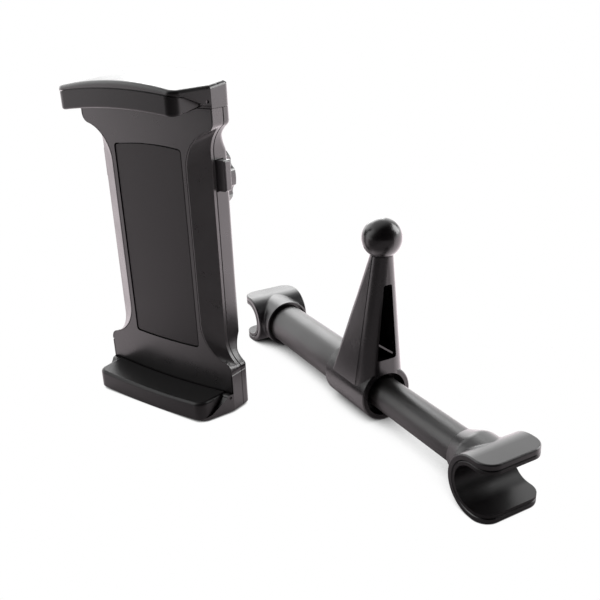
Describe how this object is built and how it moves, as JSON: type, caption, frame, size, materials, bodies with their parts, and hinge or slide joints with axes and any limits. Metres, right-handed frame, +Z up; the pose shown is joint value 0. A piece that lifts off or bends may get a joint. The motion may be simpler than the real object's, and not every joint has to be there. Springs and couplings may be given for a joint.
{
  "type": "headrest tablet mount",
  "caption": "Car headrest tablet mount: cradle with a sliding upper jaw, release buttons and a rear ball socket, and a telescoping bar with lined post hooks and an upright ball stud.",
  "frame": {"origin": "on the floor, under the middle of the cradle's front face", "axes": "+X to the right across the cradle as seen from its front, -Y out of its front, +Z up; the bar lies beside it on its hooks, turned 26.1 degrees about Z"},
  "size_m": [0.2136, 0.1095, 0.1495],
  "materials": {
    "fascia_plastic": "fine satin texture, charcoal black",
    "rail_plastic": "satin black",
    "cover_plastic": "satin black",
    "jaw_plastic": "satin black",
    "button_plastic": "satin black",
    "post_plastic": "fine satin texture, black",
    "hook_plastic": "satin black",
    "nylon": "plain moulded black",
    "grip_rubber": "smooth matt rubber sheet",
    "jaw_rubber": "soft matt rubber",
    "liner_rubber": "soft satin rubber",
    "tube_metal": "satin black coating",
    "rod_metal": "satin black coating",
    "screw_steel": "dark zinc",
    "spring_steel": "drawn wire"
  },
  "bodies": {
    "base": {"fascia": "fascia_plastic", "grip_pad": "grip_rubber", "mid_frame": "rail_plastic", "rear_cover": "cover_plastic", "cover_screws": "screw_steel", "lower_jaw": "jaw_plastic", "lower_jaw_pin": "screw_steel", "jaw_screws": "screw_steel", "ball_socket": "nylon", "outer_tube": "tube_metal", "tube_bush": "nylon", "ball_post": "post_plastic", "left_hook": "hook_plastic", "left_hook_liner": "liner_rubber", "left_hook_screw": "screw_steel", "left_hook_plug": "nylon"},
    "lower_pad": {"lower_jaw_pad": "jaw_rubber"},
    "carriage": {"upper_jaw": "jaw_plastic", "upper_jaw_pin": "screw_steel", "guide_rail_right": "nylon", "guide_rail_left": "nylon", "rail_screws": "screw_steel"},
    "upper_pad": {"upper_jaw_pad": "jaw_rubber"},
    "right_button": {"release_button_right": "button_plastic", "release_spring_right": "spring_steel"},
    "left_button": {"release_button_left": "button_plastic", "release_spring_left": "spring_steel"},
    "nut": {"socket_nut": "cover_plastic"},
    "slider": {"lock_collet": "nylon"},
    "rod": {"inner_rod": "rod_metal", "lock_spindle": "nylon", "right_hook": "hook_plastic", "right_hook_liner": "liner_rubber", "right_hook_screw": "screw_steel", "right_hook_plug": "nylon"}
  },
  "joints": [
    {"name": "lower_pad_swing", "type": "hinge", "parent": "base", "child": "lower_pad", "pos_m": [0, -0.0017, 0.008], "axis": [-1, 0, 0], "range_deg": [0, 10]},
    {"name": "jaw_slide", "type": "slide", "parent": "base", "child": "carriage", "axis": [0, 0, 1], "range_m": [0, 0.075]},
    {"name": "upper_pad_swing", "type": "hinge", "parent": "carriage", "child": "upper_pad", "pos_m": [0, -0.0017, 0.1382], "axis": [1, 0, 0], "range_deg": [0, 10]},
    {"name": "release_right", "type": "slide", "parent": "base", "child": "right_button", "axis": [-1, 0, 0], "range_m": [0, 0.002], "stiffness_N_per_m": 300, "springref_m": -0.001, "deforming": ["release_spring_right"]},
    {"name": "release_left", "type": "slide", "parent": "base", "child": "left_button", "axis": [1, 0, 0], "range_m": [0, 0.002], "stiffness_N_per_m": 300, "springref_m": -0.001, "deforming": ["release_spring_left"]},
    {"name": "nut_turn", "type": "hinge", "parent": "base", "child": "nut", "pos_m": [0, 0.029, 0.099], "axis": [0, 1, 0], "range_deg": [-90, 270]},
    {"name": "rod_slide", "type": "slide", "parent": "base", "child": "slider", "axis": [0.898, -0.4399, 0], "range_m": [-0.048, 0.012]},
    {"name": "rod_twist", "type": "hinge", "parent": "slider", "child": "rod", "pos_m": [0.0959, 0.0334, 0.0124], "axis": [0.898, -0.4399, 0], "range_deg": [-90, 90]}
  ]
}
